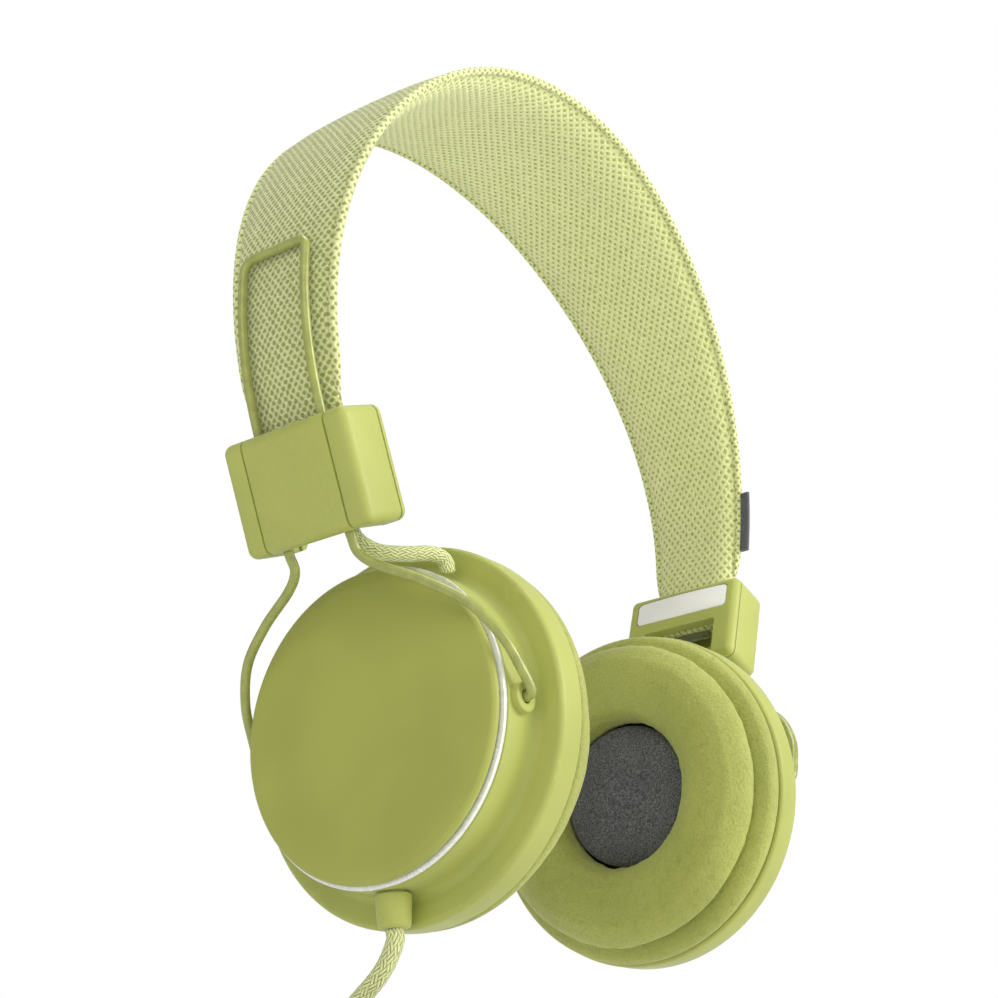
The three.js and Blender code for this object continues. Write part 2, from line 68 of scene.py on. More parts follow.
BAND_HALF_W = 20.4
BAND_END_HALF_W = 10.2
BAND_IN_BOX = 11.5
BAND_STATIONS = 260
PIPING_R = 0.85
PIPING_FADE = 9.0
FRAME_WIRE_R = 0.9
FRAME_HALF_W = 7.8
FRAME_OFFSET = 3.25
FRAME_REACH = 34.0
BOX_H = 22.0
BOX_HALF_W = 15.0
BOX_OUT = 6.6
BOX_IN = -5.7
BOX_SHARP = 32
SEAM_Y = 10.0
GAP = 0.3
AXLE_DOWN = 18.0
AXLE_OUT = 2.65
STUB_HALF_W = 7.5
YOKE_WIRE_R = 0.95
PIVOT_X = 47.5
PIVOT_HALF_W = 32.6
CUP_Z = -146.3
BODY_R = 29.8
COLLAR_R = 2.8
LEAD_R = 1.5
LEAD_SPLIT = 0.66
CORD_R = 1.7
COIL_R = 20.0
COIL_TURNS = 8
COIL_Z = -228.0
TAIL_Y = 25.0
PLUG_TOP = -249.5
RELIEF_END = CUP_Z - BODY_R - 6.5
CLOTH_PRESSURE = 4.0
CLOTH_STIFFNESS = 25.0
SIM_FRAMES = 20
FLOOR_HALF = 30000

TOP_C = (0.0, PAD_DEPTH - TOP_R)
SIDE_C = (
    (TOP_R - SIDE_R) * math.sin(TOP_END),
    TOP_C[1] + (TOP_R - SIDE_R) * math.cos(TOP_END),
)
TOP_LEN = TOP_R * TOP_END
BAND_LEN = TOP_LEN + SIDE_R * (SIDE_END - TOP_END)


# --- mesh helpers ---

def finish_mesh(mesh, sharp_deg):
    bm = bmesh.new()
    bm.from_mesh(mesh)
    bmesh.ops.recalc_face_normals(bm, faces=bm.faces)
    bm.to_mesh(mesh)
    bm.free()
    mesh.shade_smooth()
    if sharp_deg:
        mesh.set_sharp_from_angle(angle=math.radians(sharp_deg))


def add_mesh(name, verts, faces, material, sharp_deg=0, uvs=None):
    """A new object from points in millimetres; uvs holds one (u, v) per face corner."""
    mesh = bpy.data.meshes.new(name)
    mesh.from_pydata((np.asarray(verts, float) * MM).tolist(), [], faces)
    if uvs is not None:
        layer = mesh.uv_layers.new(name="UVMap")
        layer.data.foreach_set("uv", np.asarray(uvs, np.float32).ravel())
    finish_mesh(mesh, sharp_deg)
    obj = bpy.data.objects.new(name, mesh)
    bpy.context.scene.collection.objects.link(obj)
    mesh.materials.append(material)
    return obj


def skin(rings, loop=False):
    """Points, faces and corner UVs of a skin over equal rings; open ends are capped."""
    rings = np.asarray(rings, float)
    count, n = rings.shape[:2]
    middle = rings[count // 2]
    steps = np.linalg.norm(np.roll(middle, -1, axis=0) - middle, axis=1)
    around = np.concatenate([[0], np.cumsum(steps)])
    centres = rings.mean(axis=1)
    along = np.concatenate([[0], np.cumsum(np.linalg.norm(np.diff(centres, axis=0), axis=1))])
    faces, uvs = [], []
    for i in range(count if loop else count - 1):
        k = (i + 1) % count
        v1 = along[i + 1] if i + 1 < len(along) else along[i] + (along[1] - along[0])
        for j in range(n):
            m = (j + 1) % n
            faces.append((i * n + j, i * n + m, k * n + m, k * n + j))
            uvs += [(around[j], along[i]), (around[j + 1], along[i]),
                    (around[j + 1], v1), (around[j], v1)]
    if not loop:
        for i in (0, count - 1):
            faces.append(tuple(range(i * n, i * n + n)))
            uvs += [(around[j], along[i]) for j in range(n)]
    return rings.reshape(-1, 3), faces, uvs


def tube_rings(points, radius, sides):
    """Rings of a round tube along points, without twist."""
    p = np.asarray(points, float)
    radii = np.broadcast_to(np.asarray(radius, float), (len(p),))
    tangents = np.gradient(p, axis=0)
    tangents /= np.linalg.norm(tangents, axis=1)[:, None]
    seed = np.array([0.0, 0.0, 1.0])
    if abs(tangents[0] @ seed) > 0.9:
        seed = np.array([1.0, 0.0, 0.0])
    side = np.cross(tangents[0], seed)
    angles = np.linspace(0, 2 * math.pi, sides, endpoint=False)
    rings = []
    for point, t, r in zip(p, tangents, radii):
        side = side - t * (side @ t)
        side /= np.linalg.norm(side)
        other = np.cross(t, side)
        rings.append([point + r * (math.cos(a) * side + math.sin(a) * other) for a in angles])
    return rings


def tube(name, points, radius, sides, material, end_round=0.0):
    """A round rod; end_round shrinks its two ends to a soft tip of that length."""
    p = resample(points, 0.0)
    rings = tube_rings(p, radius, sides)
    if end_round:
        rings = soften_ends(p, rings, end_round)
    verts, faces, uvs = skin(rings)
    return add_mesh(name, verts, faces, material, 50, uvs)


def soften_ends(p, rings, length):
    """Adds shrinking rings past both ends, which makes each end a dome."""
    rings = [np.array(r) for r in rings]
    extra = []
    for which, step in ((0, -1), (len(p) - 1, 1)):
        t = p[which] - p[which - step]
        t /= np.linalg.norm(t)
        ring, centre = rings[which], p[which]
        grown = []
        for k in (0.45, 0.8, 0.97):
            shrink = math.sqrt(1 - k * k)
            grown.append(centre + (ring - centre) * shrink + t * length * k)
        extra.append(grown)
    return extra[0][::-1] + rings + extra[1]


def catmull(points, steps):
    """A smooth curve through the points."""
    p = [np.asarray(q, float) for q in points]
    p = [2 * p[0] - p[1]] + p + [2 * p[-1] - p[-2]]
    out = []
    for a, b, c, d in zip(p, p[1:], p[2:], p[3:]):
        for i in range(steps):
            t = i / steps
            out.append(0.5 * (2 * b + (c - a) * t + (2 * a - 5 * b + 4 * c - d) * t * t
                              + (3 * b - a - 3 * c + d) * t ** 3))
    out.append(p[-2])
    return out


def bend(a, corner, b, steps=8):
    """Points of a rounded corner between a and b, without the two ends."""
    a, corner, b = (np.asarray(q, float) for q in (a, corner, b))
    ts = [i / steps for i in range(1, steps)]
    return [(1 - t) ** 2 * a + 2 * t * (1 - t) * corner + t * t * b for t in ts]


def resample(points, step):
    """Drops doubled points; with a step, spaces the points evenly."""
    p = np.asarray(points, float)
    keep = np.concatenate([[True], np.linalg.norm(np.diff(p, axis=0), axis=1) > 1e-4])
    p = p[keep]
    if not step:
        return p
    run = np.concatenate([[0], np.cumsum(np.linalg.norm(np.diff(p, axis=0), axis=1))])
    at = np.linspace(0, run[-1], max(2, round(run[-1] / step) + 1))
    return np.stack([np.interp(at, run, p[:, k]) for k in range(3)], axis=1)


def fillet(profile, radius, steps=4, closed=False):
    """Rounds the corners of a profile of (r, x) points."""
    p = [np.asarray(q, float) for q in profile]
    n = len(p)
    out = []
    for i, corner in enumerate(p):
        if not closed and i in (0, n - 1):
            out.append(tuple(corner))
            continue
        before, after = p[i - 1], p[(i + 1) % n]
        la, lb = np.linalg.norm(before - corner), np.linalg.norm(after - corner)
        cut = min(radius, 0.48 * la, 0.48 * lb)
        start = corner + (before - corner) / la * cut
        end = corner + (after - corner) / lb * cut
        for k in range(steps + 1):
            t = k / steps
            out.append(tuple((1 - t) ** 2 * start + 2 * t * (1 - t) * corner + t * t * end))
    return out


def cup_place(sign):
    """Places a profile of (r, x) round the axis of the cup on one side."""
    return lambda r, x, a: (sign * x, r * math.cos(a), CUP_Z + r * math.sin(a))


def upright_place(x, y):
    """Places a profile of (r, z) round a vertical axis."""
    return lambda r, z, a: (x + r * math.cos(a), y + r * math.sin(a), z)


def lathe(name, profile, segments, place, material, closed=False, sharp_deg=40):
    """A solid of revolution; an open profile starts and ends on the axis."""
    angles = np.linspace(0, 2 * math.pi, segments, endpoint=False)
    inner = profile if closed else profile[1:-1]
    verts, faces = [], []
    n = len(inner)
    for a in angles:
        for r, x in inner:
            verts.append(place(r, x, a))
    for i in range(segments):
        k = (i + 1) % segments
        for j in range(n if closed else n - 1):
            m = (j + 1) % n
            faces.append((i * n + j, k * n + j, k * n + m, i * n + m))
    if not closed:
        for end, j in ((profile[0], 0), (profile[-1], n - 1)):
            verts.append(place(end[0], end[1], 0.0))
            pole = len(verts) - 1
            faces += [(i * n + j, ((i + 1) % segments) * n + j, pole) for i in range(segments)]
    return add_mesh(name, verts, faces, material, sharp_deg)


# --- material helpers ---

def srgb(r, g, b):
    """Linear colour of an 8-bit one."""
    def lin(c):
        c /= 255
        return c / 12.92 if c <= 0.04045 else ((c + 0.055) / 1.055) ** 2.4
    return (lin(r), lin(g), lin(b), 1.0)


def scaled(colour, factor):
    """A darker or paler form of a colour."""
    return tuple(min(1.0, c * factor) for c in colour[:3]) + (1.0,)


class Look:
    """A material being built: its node tree and principled shader."""

    def __init__(self, name, roughness, **sockets):
        self.material = bpy.data.materials.new(name)
        self.material.use_nodes = True
        self.tree = self.material.node_tree
        self.shader = self.tree.nodes["Principled BSDF"]
        self.shader.inputs["Roughness"].default_value = roughness
        for key, value in sockets.items():
            self.shader.inputs[key.replace("_", " ")].default_value = value

    def add(self, kind, inputs=None, **props):
        n = self.tree.nodes.new(kind)
        for key, value in props.items():
            setattr(n, key, value)
        for key, value in (inputs or {}).items():
            self.put(n.inputs[key], value)
        return n

    def put(self, socket, value):
        if isinstance(value, bpy.types.NodeSocket):
            self.tree.links.new(value, socket)
        else:
            socket.default_value = value

    def math(self, operation, *values):
        return self.add("ShaderNodeMath", dict(enumerate(values)), operation=operation).outputs[0]

    def vector(self, operation, *values):
        n = self.add("ShaderNodeVectorMath", dict(enumerate(values)), operation=operation)
        return n.outputs["Value" if operation in ("LENGTH", "DOT_PRODUCT") else "Vector"]

    def mix(self, factor, a, b):
        n = self.add("ShaderNodeMix", data_type="RGBA")
        for index, value in ((0, factor), (6, a), (7, b)):
            self.put(n.inputs[index], value)
        return n.outputs[2]

    def ramp(self, value, low, high, to_low=0.0, to_high=1.0):
        inputs = {"Value": value, "From Min": low, "From Max": high,
                  "To Min": to_low, "To Max": to_high}
        return self.add("ShaderNodeMapRange", inputs, interpolation_type="SMOOTHSTEP").outputs[0]

    def noise(self, scale, detail=3.0, vector=None, roughness=0.5):
        inputs = {"Scale": scale, "Detail": detail, "Roughness": roughness}
        inputs["Vector"] = vector or self.place()
        return self.add("ShaderNodeTexNoise", inputs).outputs[0]

    def place(self):
        return self.add("ShaderNodeTexCoord").outputs["Object"]

    def uv(self):
        return self.add("ShaderNodeTexCoord").outputs["UV"]

    def bump(self, height, distance_mm, strength=1.0, under=None):
        inputs = {"Height": height, "Distance": distance_mm * MM, "Strength": strength}
        if under is not None:
            inputs["Normal"] = under
        return self.add("ShaderNodeBump", inputs).outputs[0]

    def done(self, colour=None, normal=None, roughness=None):
        for key, value in (("Base Color", colour), ("Normal", normal), ("Roughness", roughness)):
            if value is not None:
                self.put(self.shader.inputs[key], value)
        return self.material


def worn_edges(look):
    """Paler and smoother along handled edges, in broken patches."""
    point = look.add("ShaderNodeNewGeometry").outputs["Pointiness"]
    edge = look.ramp(point, 0.52, 0.60)
    patch = look.ramp(look.noise(900.0, 4.0), 0.42, 0.62)
    return look.math("MULTIPLY", edge, patch)


def moulded(name, base, roughness, speck=0.10):
    """Soft-touch moulded plastic: fine stipple, slow tone changes, faint worn edges."""
    look = Look(name, roughness, Sheen_Weight=0.22, Sheen_Roughness=0.35,
                Coat_Weight=0.05, Coat_Roughness=0.5)
    dark = scaled(base, 0.90)
    pale = scaled(base, 1.18)
    tone = look.mix(look.ramp(look.noise(38.0, 2.0), 0.35, 0.65), dark, base)
    dots = look.noise(6500.0, 2.0)
    tone = look.mix(look.ramp(dots, 0.35, 0.75, 0.0, speck), tone, pale)
    wear = worn_edges(look)
    tone = look.mix(look.math("MULTIPLY", wear, 0.35), tone, pale)
    rough = look.ramp(look.noise(140.0, 5.0), 0.3, 0.7, roughness - 0.05, roughness + 0.08)
    normal = look.bump(dots, 0.03, 0.35)
    normal = look.bump(look.noise(60.0, 2.0), 0.06, 0.12, normal)
    return look.done(tone, normal, rough)


def painted_wire(name, base):
    """Enamelled steel wire: slight orange peel and rubbed spots."""
    look = Look(name, 0.34, Metallic=0.05, Coat_Weight=0.35, Coat_Roughness=0.22)
    dark = scaled(base, 0.82)
    tone = look.mix(look.ramp(look.noise(420.0, 5.0), 0.35, 0.7), dark, base)
    rough = look.ramp(look.noise(700.0, 4.0), 0.3, 0.7, 0.26, 0.44)
    return look.done(tone, look.bump(look.noise(1100.0, 2.0), 0.04, 0.3), rough)


def lattice(look, across, along, squash, diamond):
    """Distance from the nearest point of a staggered lattice, in pitches; round or diamond."""
    pitches = look.vector("MULTIPLY", look.uv(), (1 / across, 1 / along, 0.0))
    cells = []
    for shift in (0.0, 0.5):
        moved = look.vector("ADD", pitches, (shift, shift, 0.0))
        local = look.vector("SUBTRACT", look.vector("FRACTION", moved), (0.5, 0.5, 0.0))
        if diamond:
            cells.append(look.vector("DOT_PRODUCT", look.vector("ABSOLUTE", local), (1.0, 1.0, 0.0)))
        else:
            shaped = look.vector("MULTIPLY", local, (1.0, squash, 0.0))
            cells.append(look.vector("LENGTH", shaped))
    return look.math("MINIMUM", cells[0], cells[1])


def mesh_knit(name, thread, hole, across, along, squash, hole_size, depth, diamond=False):
    """Spacer-mesh fabric: staggered holes between looped threads, the holes filled with a darker colour
    as painted shade.
    """
    look = Look(name, 0.86, Sheen_Weight=0.35, Sheen_Roughness=0.45)
    near = lattice(look, across, along, squash, diamond)
    wobble = look.noise(1500.0, 4.0)
    near = look.math("ADD", near, look.ramp(wobble, 0.2, 0.8, -0.12, 0.12))
    solid = look.ramp(near, hole_size, hole_size + 0.2)
    crown = look.ramp(near, hole_size, hole_size + 0.42)
    fine = look.vector("MULTIPLY", look.uv(), (1.0, 0.35, 1.0))
    strands = look.noise(5.0, 4.0, fine, 0.65)
    soft = scaled(thread, 0.80)
    yarn = look.mix(look.ramp(strands, 0.38, 0.58), soft, thread)
    cloud = look.ramp(look.noise(45.0, 2.0), 0.3, 0.7, 0.0, 0.22)
    yarn = look.mix(cloud, yarn, soft)
    # The holes take the hole colour: painted shade in them.
    tone = look.mix(solid, hole, yarn)
    height = look.math("ADD", crown, look.math("MULTIPLY", strands, 0.35))
    return look.done(tone, look.bump(height, depth, 0.9))


def braided(name, thread, shade, strands, pitch, girth):
    """Braided sleeve: two families of diagonal strands passing over each other, the low parts between
    them darkened as painted shade.
    """
    look = Look(name, 0.8, Sheen_Weight=0.3, Sheen_Roughness=0.5)
    parts = look.add("ShaderNodeSeparateXYZ", {0: look.uv()}).outputs
    turn = look.math("MULTIPLY", parts[0], strands / girth)
    run = look.math("MULTIPLY", parts[1], 1 / pitch)
    waves = []
    for op in ("ADD", "SUBTRACT"):
        waves.append(look.math("MULTIPLY", look.math(op, turn, run), math.pi))
    over = look.math("MULTIPLY", look.math("SINE", waves[0]), look.math("SINE", waves[1]))
    pick = look.ramp(over, -0.12, 0.12)
    ribs = [look.math("ABSOLUTE", look.math("SINE", look.math("MULTIPLY", w, 2.0))) for w in waves]
    one = look.math("MULTIPLY", ribs[0], pick)
    two = look.math("MULTIPLY", ribs[1], look.math("SUBTRACT", 1.0, pick))
    height = look.math("ADD", one, two)
    fuzz = look.noise(5200.0, 2.0)
    # Painted shade: the low parts between the strands take the shade colour.
    tone = look.mix(look.ramp(height, 0.1, 0.75), shade, thread)
    tone = look.mix(look.ramp(fuzz, 0.4, 0.7, 0.0, 0.25), tone, shade)
    height = look.math("ADD", height, look.math("MULTIPLY", fuzz, 0.4))
    return look.done(tone, look.bump(height, 0.22, 0.9))


def leatherette(name, base, shade):
    """Soft coated cover of the ear cushions: pebble grain, fine creases, uneven tone and gloss."""
    look = Look(name, 0.62, Sheen_Weight=0.22, Sheen_Roughness=0.4)
    grain = look.add("ShaderNodeTexVoronoi", {"Vector": look.place(), "Scale": 1500.0}).outputs[0]
    crease = look.noise(420.0, 6.0, None, 0.7)
    fine = look.noise(2400.0, 3.0, None, 0.7)
    slow = look.noise(34.0, 2.0)
    tone = look.mix(look.ramp(slow, 0.3, 0.7, 0.0, 0.35), base, shade)
    tone = look.mix(look.ramp(crease, 0.5, 0.72, 0.0, 0.30), tone, shade)
    tone = look.mix(look.ramp(fine, 0.45, 0.68, 0.0, 0.42), tone, shade)
    rough = look.ramp(crease, 0.3, 0.7, 0.54, 0.72)
    normal = look.bump(grain, 0.16, 0.7)
    normal = look.bump(crease, 0.22, 0.45, normal)
    normal = look.bump(fine, 0.10, 0.6, normal)
    return look.done(tone, normal, rough)


def felt(name, base, pale, scale=2600.0, weave=0.0):
    """Dense speckled cloth."""
    look = Look(name, 0.95, Sheen_Weight=0.25, Sheen_Roughness=0.6)
    speck = look.noise(scale, 4.0, None, 0.75)
    broad = look.noise(140.0, 3.0)
    tone = look.mix(look.ramp(speck, 0.40, 0.62), base, pale)
    tone = look.mix(look.ramp(broad, 0.35, 0.7, 0.0, 0.3), tone, base)
    height = speck
    if weave:
        rib = look.add("ShaderNodeTexWave", {"Vector": look.place(), "Scale": weave},
                       bands_direction="Z").outputs[1]
        height = look.math("ADD", speck, rib)
    return look.done(tone, look.bump(height, 0.12, 0.8))


def metal(name, base, roughness, metallic=1.0):
    """Machined metal with a fine uneven finish and light smears."""
    look = Look(name, roughness, Metallic=metallic)
    lines = look.noise(900.0, 3.0)
    tone = look.mix(look.ramp(lines, 0.3, 0.7, 0.0, 0.25), base, (0.5, 0.5, 0.48, 1.0))
    rough = look.ramp(look.noise(260.0, 4.0), 0.3, 0.7, roughness * 0.7, roughness * 1.4)
    return look.done(tone, look.bump(lines, 0.01, 0.25), rough)


LIME = moulded("lime_plastic", srgb(176, 182, 90), 0.50)
# The cap's plastic is the lime plastic made darker: painted shade on the outer face of the cups.
LIME_CAP_SHADED = moulded("lime_cap_shaded", srgb(167, 172, 78), 0.56, 0.06)
WIRE = painted_wire("lime_wire", srgb(164, 170, 86))
GIRTH_CORD = 2 * math.pi * CORD_R
GIRTH_LEAD = 2 * math.pi * LEAD_R
GIRTH_PIPING = 2 * math.pi * PIPING_R
PALE = srgb(240, 244, 176)
# Painted shade: the darker lime that fills the holes of the knits and the grooves of the braids.
RECESS_SHADE = srgb(148, 155, 74)
KNIT_OUT = mesh_knit("knit_outer", PALE, RECESS_SHADE, 1.5, 2.0, 1.2, 0.17, 0.45)
# Its second colour is painted shade in the inner knit's holes.
KNIT_IN = mesh_knit("knit_inner", srgb(248, 252, 178), srgb(168, 176, 84),
                    1.7, 2.6, 1.0, 0.09, 0.45, diamond=True)
BRAID = braided("cord_braid", PALE, RECESS_SHADE, 8, 3.0, GIRTH_CORD)
LEAD_BRAID = braided("lead_braid", PALE, RECESS_SHADE, 8, 2.7, GIRTH_LEAD)
PIPING_CLOTH = mesh_knit("edge_knit", PALE, RECESS_SHADE, GIRTH_PIPING / 3, 2.0, 1.3, 0.12, 0.3)
PAD_COVER = leatherette("cushion_cover", srgb(178, 183, 92), srgb(130, 136, 60))
DRIVER_CLOTH = felt("driver_cloth", srgb(52, 52, 55), srgb(118, 118, 122))
TAG_CLOTH = felt("tag_cloth", srgb(62, 62, 65), srgb(102, 102, 105), 3200.0, 1800.0)
STRAP = felt("strap_cloth", srgb(38, 38, 40), srgb(66, 66, 69), 1900.0)
CHROME = metal("trim_chrome", srgb(250, 250, 246), 0.22, 0.3)
STEEL = metal("spring_steel", srgb(160, 162, 166), 0.34)
GOLD = metal("jack_gold", srgb(214, 178, 96), 0.2)
BLACK = moulded("dark_plastic", srgb(44, 44, 46), 0.5)
WHITE = moulded("label_white", srgb(252, 252, 248), 0.35, 0.03)


# --- headband ---

def band_point(s, n):
    """The (x, z) of a point s along the band's arc and n out of it."""
    side = -1.0 if s < 0 else 1.0
    d = abs(s)
    top = d <= TOP_LEN
    angle = d / TOP_R if top else TOP_END + (d - TOP_LEN) / SIDE_R
    cx, cz = TOP_C if top else SIDE_C
    r = (TOP_R if top else SIDE_R) + n
    return side * (cx + r * math.sin(angle)), cz + r * math.cos(angle)


def band_half_width(s):
    u = min(abs(s) / BAND_LEN, 1.0)
    fall = ((1 + math.cos(math.pi * u)) / 2) ** 0.8
    return BAND_END_HALF_W + (BAND_HALF_W - BAND_END_HALF_W) * fall


def pad_depth(s):
    u = min(abs(s) / BAND_LEN, 1.0)
    return PAD_DEPTH - 0.8 * u * u


def band_strip(name, section, reach, material):
    """A strip along the band; section(s) gives its outline as (y, n) points."""
    rings = []
    count = BAND_STATIONS
    stations = np.linspace(-reach, reach, count)
    for s in stations:
        outline = section(s)
        rings.append([(band_point(s, n)[0], y, band_point(s, n)[1]) for y, n in outline])
    verts, faces, _ = skin(rings)
    n = len(rings[0])
    widths = [np.array([y for y, _ in section(s)]) for s in stations]
    uvs = []
    for i in range(count - 1):
        for j in range(n):
            m = (j + 1) % n
            uvs += [(widths[i][j], stations[i]), (widths[i][m], stations[i]),
                    (widths[i + 1][m], stations[i + 1]), (widths[i + 1][j], stations[i + 1])]
    for i in (0, count - 1):
        uvs += [(widths[i][j], stations[i]) for j in range(n)]
    return add_mesh(name, verts, faces, material, 0, uvs)


ACROSS = np.sin(np.linspace(-math.pi / 2, math.pi / 2, 29))


def outer_section(s):
    w = band_half_width(s)
    crown = [(t * w, 0.1 + (1.0 + 0.8 * (1 - t * t)) * (1 - abs(t) ** 10) ** 0.5) for t in ACROSS]
    under = [(t * (w - 0.3), -0.15) for t in ACROSS[::-1]]
    return crown + under


def inner_section(s):
    """The padded underside: a shallow pillow, a little uneven as stuffed fabric is."""
    w = band_half_width(s)
    deep = pad_depth(s)
    out = []
    for t in ACROSS:
        full = (1 - abs(t) ** 5) ** 0.75
        uneven = 0.14 * noise.noise(Vector((t * w * 0.12, s * 0.05, 3.0)))
        out.append((t * w, -0.25 - (deep - 0.3) * full * (1 + 0.5 * uneven)))
    top = [(t * (w - 0.3), -0.2) for t in ACROSS[::-1]]
    return out + top


def make_headband():
    reach = BAND_LEN + BAND_IN_BOX
    cover = band_strip("headband_fabric", outer_section, reach, KNIT_OUT)
    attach(cover, "headband")
    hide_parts("headband_cover")
    pad = band_strip("headband_padding", inner_section, reach - 0.5, KNIT_IN)
    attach(pad, "headband")
    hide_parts("headband_pad")
    for edge, where in ((-1, "front"), (1, "back")):
        make_piping(edge, where)


def make_piping(edge, where):
    """The corded edge, which thins and sinks into the band near the boxes."""
    reach = BAND_LEN - 3
    points, radii = [], []
    for s in np.linspace(-reach, reach, 200):
        x, z = band_point(s, 0)
        sink = max(0.0, (abs(s) - reach + PIPING_FADE) / PIPING_FADE) ** 2
        y = edge * (band_half_width(s) + PIPING_R - 0.25 - 0.8 * sink)
        points.append((x, y, z))
        radii.append(PIPING_R * (1 - 0.55 * sink))
    piping = tube(f"headband_edge_{where}", points, radii, 12, PIPING_CLOTH)
    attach(piping, "headband")
    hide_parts(f"headband_piping_{where}")


def make_tag():
    """The folded cloth tag sewn to the front edge."""
    rings = []
    for s in np.linspace(BAND_LEN - 26, BAND_LEN - 11, 14):
        y = -band_half_width(s) - 2 * PIPING_R + 0.45
        ring = []
        for k in range(20):
            a = 2 * math.pi * k / 20
            c, d = math.cos(a), math.sin(a)
            dy = 1.1 * math.copysign(abs(c) ** 0.35, c)
            dn = 0.58 * math.copysign(abs(d) ** 0.5, d)
            x, z = band_point(s, dn)
            ring.append((x, y - 1.1 + dy, z))
        rings.append(ring)
    verts, faces, uvs = skin(rings)
    tag = add_mesh("folded_tag", verts, faces, TAG_CLOTH, 60, uvs)
    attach(tag, "headband")
    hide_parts("side_tag")


# --- slider box and frame ---

END = np.array([band_point(BAND_LEN, 0)[0], 0.0, band_point(BAND_LEN, 0)[1]])
DOWN = np.array([math.cos(SIDE_END), 0.0, -math.sin(SIDE_END)])
OUT = np.array([math.sin(SIDE_END), 0.0, math.cos(SIDE_END)])


def box_point(b, y, n):
    """A point b down the box from the band's end, y across and n outwards."""
    return END + DOWN * b + OUT * n + np.array([0.0, y, 0.0])


def mirrored(points, sign):
    return [np.array([sign * p[0], p[1], p[2]]) for p in points]


def box_blank():
    """The whole rounded box as a bmesh in (n, y, -b) millimetres."""
    bm = bmesh.new()
    bmesh.ops.create_cube(bm, size=1.0)
    size = (BOX_OUT - BOX_IN, 2 * BOX_HALF_W, BOX_H)
    centre = ((BOX_OUT + BOX_IN) / 2, 0.0, -BOX_H / 2)
    for v in bm.verts:
        v.co = Vector(c + v.co[k] * size[k] for k, c in enumerate(centre))
    bmesh.ops.bevel(bm, geom=bm.edges[:], offset=1.9, segments=7, profile=0.5, affect="EDGES")
    return bm


def cut(bm, axis, at, keep_above):
    """Cuts a bmesh square to an axis, keeps one side and closes the cut."""
    normal = [0.0, 0.0, 0.0]
    normal[axis] = -1.0 if keep_above else 1.0
    point = [0.0, 0.0, 0.0]
    point[axis] = at
    geom = bm.verts[:] + bm.edges[:] + bm.faces[:]
    made = bmesh.ops.bisect_plane(bm, geom=geom, plane_co=point, plane_no=normal, clear_outer=True)
    rim = [e for e in made["geom_cut"] if isinstance(e, bmesh.types.BMEdge)]
    bmesh.ops.edgeloop_fill(bm, edges=rim)


def box_mesh(bm, name, sign, material, sharp_deg):
    """An object from a bmesh in the box's axes, which is freed."""
    bm.verts.index_update()
    verts = [box_point(-v.co.z, v.co.y, v.co.x) for v in bm.verts]
    faces = [tuple(v.index for v in f.verts) for f in bm.faces]
    bm.free()
    return add_mesh(name, mirrored(verts, sign), faces, material, sharp_deg)


def placed(bm, name, sign):
    """Turns a bmesh drawn in the box's own axes into an object on one side, edges eased."""
    bmesh.ops.recalc_face_normals(bm, faces=bm.faces)
    sharp = [e for e in bm.edges if len(e.link_faces) == 2 and e.calc_face_angle() > 0.9]
    if sharp:
        bmesh.ops.bevel(bm, geom=sharp, offset=0.22, segments=2, profile=0.5, affect="EDGES",
                        clamp_overlap=True)
    return box_mesh(bm, name, sign, LIME, BOX_SHARP)


def subtract(obj, tool):
    """Cuts a tool object out of an object for good."""
    modifier = obj.modifiers.new("cut", "BOOLEAN")
    modifier.object = tool
    modifier.solver = "EXACT"
    apply_modifiers(obj)
    bpy.data.objects.remove(tool)


def apply_modifiers(obj):
    graph = bpy.context.evaluated_depsgraph_get()
    mesh = bpy.data.meshes.new_from_object(obj.evaluated_get(graph))
    obj.modifiers.clear()
    obj.data = mesh


def block_tool(n0, n1, y0, y1, b0, b1, sign):
    """A rounded block in the box's axes, used to cut the opening."""
    bm = bmesh.new()
    bmesh.ops.create_cube(bm, size=1.0)
    lo, hi = (n0, y0, -b1), (n1, y1, -b0)
    for v in bm.verts:
        v.co = Vector((lo[k] + hi[k]) / 2 + v.co[k] * (hi[k] - lo[k]) for k in range(3))
    bmesh.ops.bevel(bm, geom=bm.edges[:], offset=0.5, segments=3, profile=0.5, affect="EDGES")
    return box_mesh(bm, "tool", sign, BLACK, 0)


def label_outline(shrink):
    """The label's rounded outline in (b, y), its upper edge bowed."""
    w, top, low, r = 12.4 - shrink, 1.9 + shrink, 8.3 - shrink, 1.1

    def corner(y0, b0, start):
        angles = [math.radians(start + 15 * k) for k in range(7)]
        return [(b0 + r * math.sin(a), y0 + r * math.cos(a)) for a in angles]

    side = w - r
    bow = []
    for k in range(1, 12):
        y = -side + 2 * side * k / 12
        bow.append((top - 0.35 * (1 - (y / w) ** 2), y))
    out = corner(side, low - r, 0) + corner(-side, low - r, 90) + corner(-side, top + r, 180)
    return out + bow + corner(side, top + r, 270)


def label_prism(name, shrink, n0, n1, sign, material, puff=0.0):
    """The label's outline standing between two heights; puff softens its outer edge."""
    rings = []
    for inset, n in ((0.0, n1), (0.0, n0 + puff), (puff * 0.3, n0 + puff * 0.3), (puff, n0)):
        ring = [box_point(b, y, n) for b, y in label_outline(shrink + inset)]
        rings.append(mirrored(ring, sign))
    return add_mesh(name, *skin(rings)[:2], material, 40)


